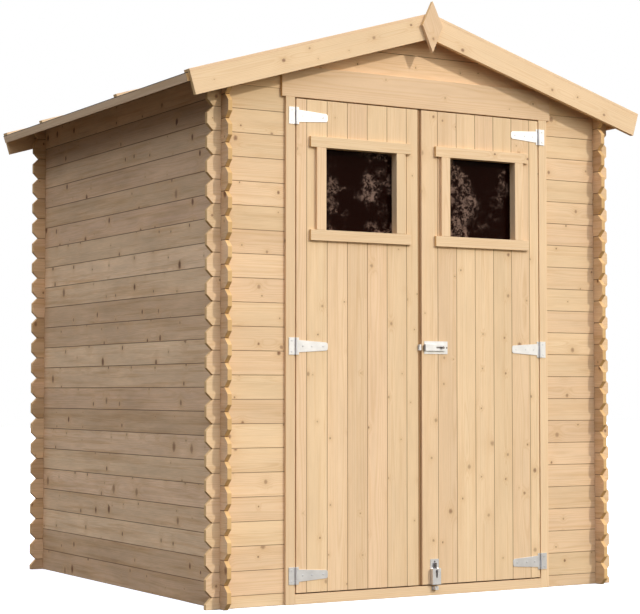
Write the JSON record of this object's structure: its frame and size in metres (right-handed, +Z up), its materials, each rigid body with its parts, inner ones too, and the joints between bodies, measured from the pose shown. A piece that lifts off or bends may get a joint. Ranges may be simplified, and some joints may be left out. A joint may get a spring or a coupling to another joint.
{
  "type": "garden shed",
  "caption": "Small wooden garden shed of interlocked notched boards, with paired outward-opening doors, door windows, a shallow gable roof and bolts.",
  "frame": {"origin": "on the ground under the middle of the shed", "axes": "+Z up, -Y out through the doors in the front wall, +X to the right seen from the front"},
  "size_m": [2.12, 1.934, 2.3191],
  "materials": {
    "planed_spruce": "planed, untreated softwood with knots",
    "roofing_felt": "mineral-faced bitumen felt",
    "window_glass": "clear sheet",
    "zinc_plated_steel": "pressed, zinc-plated"
  },
  "bodies": {
    "root": {"floor_bearers": "planed_spruce", "floor_boards": "planed_spruce", "foot_bolt_keeper": "zinc_plated_steel", "front_diamond": "planed_spruce", "front_gable": "planed_spruce", "front_left_barge_board": "planed_spruce", "front_right_barge_board": "planed_spruce", "front_wall_left": "planed_spruce", "front_wall_right": "planed_spruce", "left_eave_fascia": "planed_spruce", "left_jamb": "planed_spruce", "left_jamb_hinge_plates": "zinc_plated_steel", "left_purlin": "planed_spruce", "left_roof_battens": "planed_spruce", "left_roof_boards": "planed_spruce", "left_roof_felt": "roofing_felt", "left_wall": "planed_spruce", "lintel": "planed_spruce", "rear_diamond": "planed_spruce", "rear_left_barge_board": "planed_spruce", "rear_right_barge_board": "planed_spruce", "rear_wall": "planed_spruce", "ridge_purlin": "planed_spruce", "right_eave_fascia": "planed_spruce", "right_jamb": "planed_spruce", "right_jamb_hinge_plates": "zinc_plated_steel", "right_purlin": "planed_spruce", "right_roof_battens": "planed_spruce", "right_roof_boards": "planed_spruce", "right_roof_felt": "roofing_felt", "right_wall": "planed_spruce", "threshold": "planed_spruce"},
    "left_door": {"left_door_boards": "planed_spruce", "left_door_ledges": "planed_spruce", "left_door_window_bars": "planed_spruce", "left_door_window_pane": "window_glass", "left_door_window_trim": "planed_spruce", "left_hinge_straps": "zinc_plated_steel", "latch_keeper": "zinc_plated_steel"},
    "right_door": {"right_door_boards": "planed_spruce", "right_door_ledges": "planed_spruce", "right_door_window_bars": "planed_spruce", "right_door_window_pane": "window_glass", "right_door_window_trim": "planed_spruce", "right_hinge_straps": "zinc_plated_steel", "closing_lath": "planed_spruce", "latch_case": "zinc_plated_steel", "foot_bolt_case": "zinc_plated_steel"},
    "latch_bolt": {"latch_bolt": "zinc_plated_steel"},
    "foot_bolt": {"foot_bolt": "zinc_plated_steel"}
  },
  "joints": [
    {"name": "left_door_hinge", "type": "hinge", "parent": "root", "child": "left_door", "pos_m": [-0.571, -0.8925, 0.97], "axis": [0, 0, -1], "range_deg": [0, 110]},
    {"name": "right_door_hinge", "type": "hinge", "parent": "root", "child": "right_door", "pos_m": [0.571, -0.8925, 0.97], "axis": [0, 0, 1], "range_deg": [0, 110]},
    {"name": "latch_bolt_slide", "type": "slide", "parent": "right_door", "child": "latch_bolt", "axis": [-1, 0, 0], "range_m": [0, 0.024]},
    {"name": "foot_bolt_slide", "type": "slide", "parent": "right_door", "child": "foot_bolt", "axis": [0, 0, -1], "range_m": [0, 0.022]}
  ]
}
